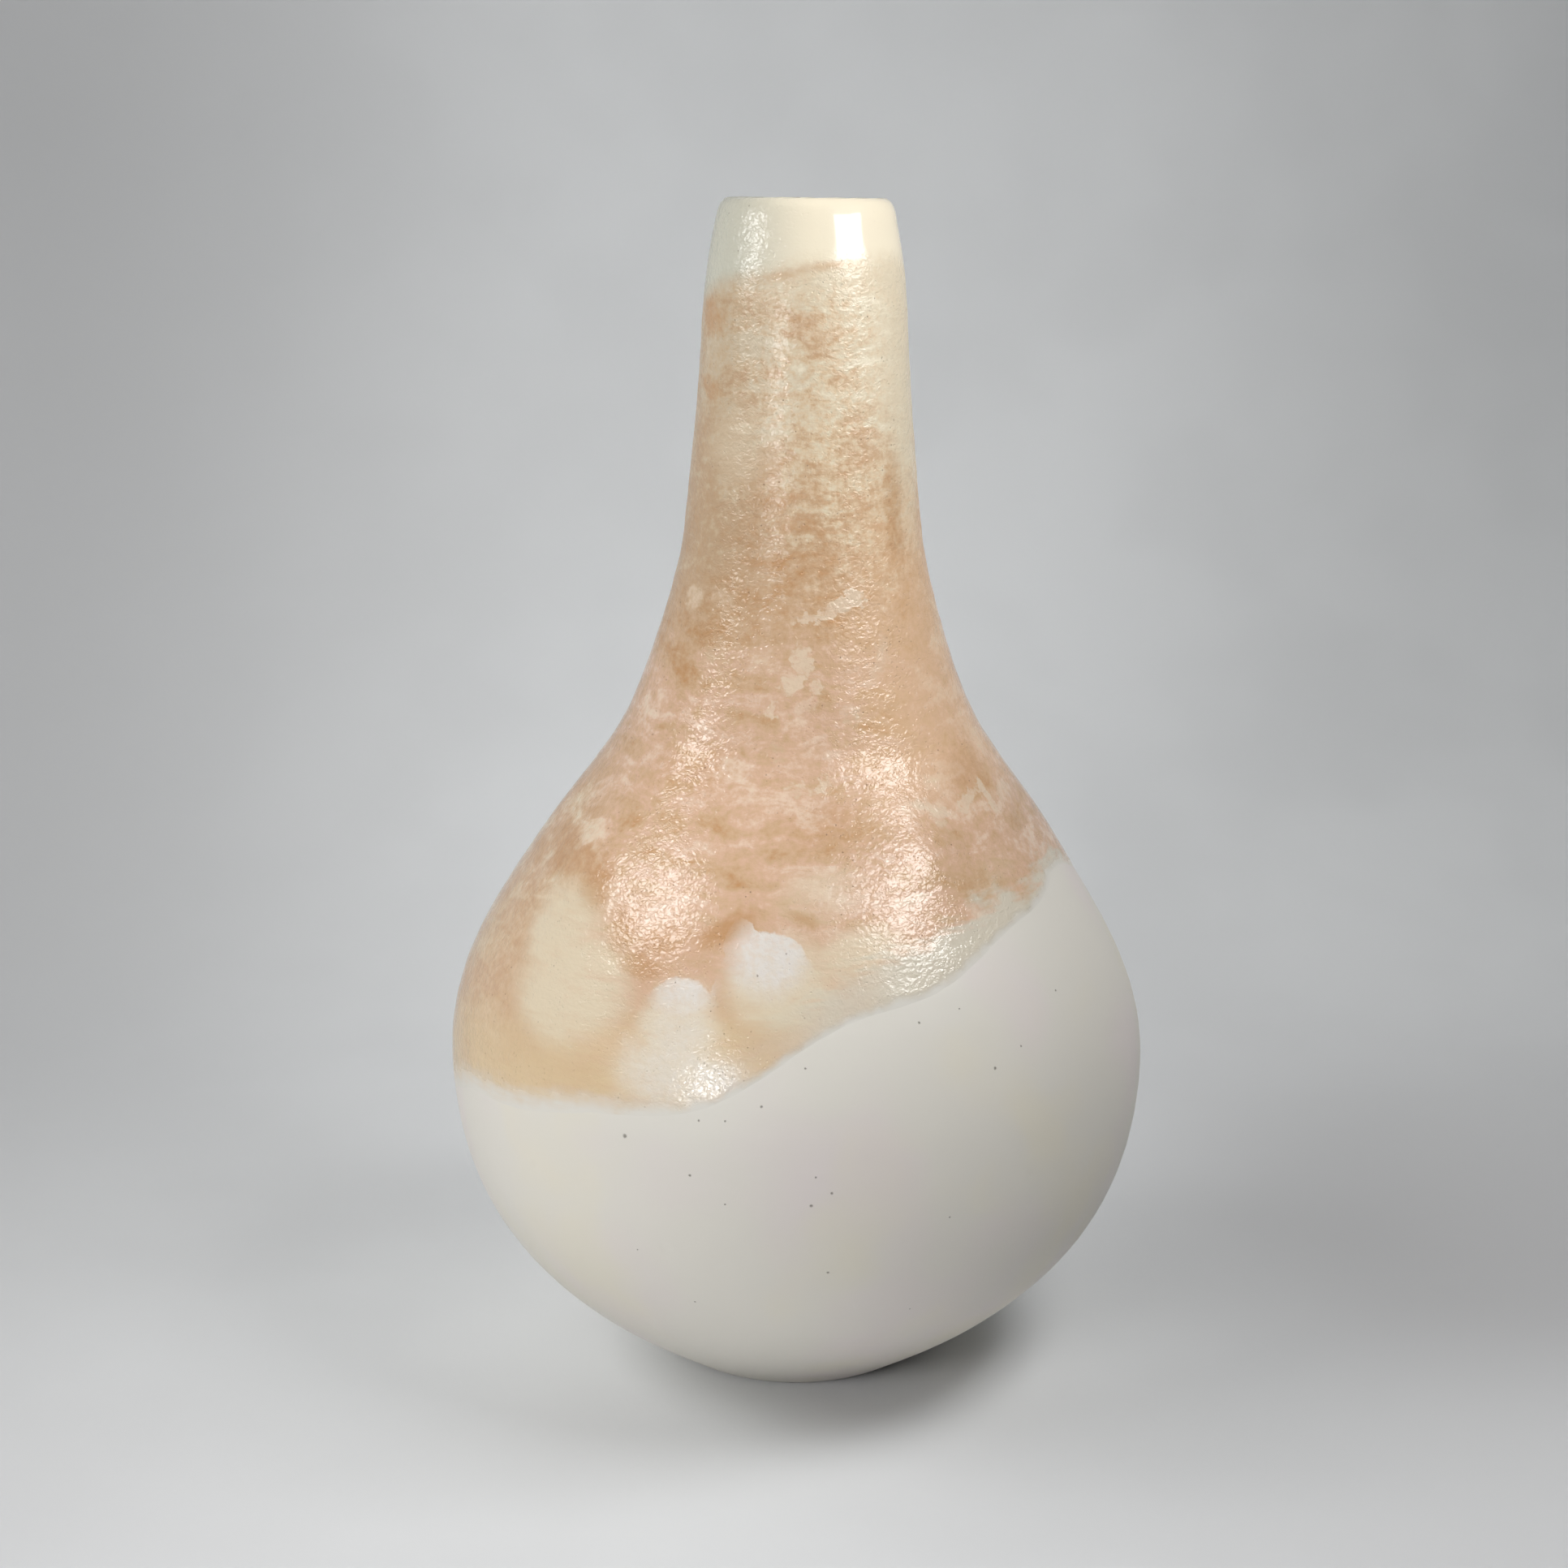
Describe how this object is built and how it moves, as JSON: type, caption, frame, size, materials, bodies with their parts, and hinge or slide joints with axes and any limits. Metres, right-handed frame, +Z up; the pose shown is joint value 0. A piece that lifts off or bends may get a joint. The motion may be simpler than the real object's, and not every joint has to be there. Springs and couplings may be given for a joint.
{
  "type": "bottle vase",
  "caption": "Round-bellied bottle vase with a narrow tapering neck, in white stoneware dipped in peach glaze to a slanted line, for stems of flowers or as an ornament.",
  "frame": {"origin": "on the axis the pot was thrown about, in the plane of the foot ring that it stands on", "axes": "+Z up along the axis of throwing, through the mouth; -Y towards the side that the picture shows; +X to the right seen from there"},
  "size_m": [0.1207, 0.12, 0.2],
  "materials": {
    "white_stoneware": "unglazed white stoneware, smooth and satin-matt, with a few dark iron specks",
    "peach_glaze": "glossy glaze with an orange-peel surface, peach to orange-tan with cream patches, cream at the rim",
    "liner_glaze": "glossy pale cream glaze"
  },
  "bodies": {
    "root": {"clay_body": "white_stoneware", "outer_glaze": "peach_glaze", "liner_glaze": "liner_glaze"}
  },
  "joints": []
}
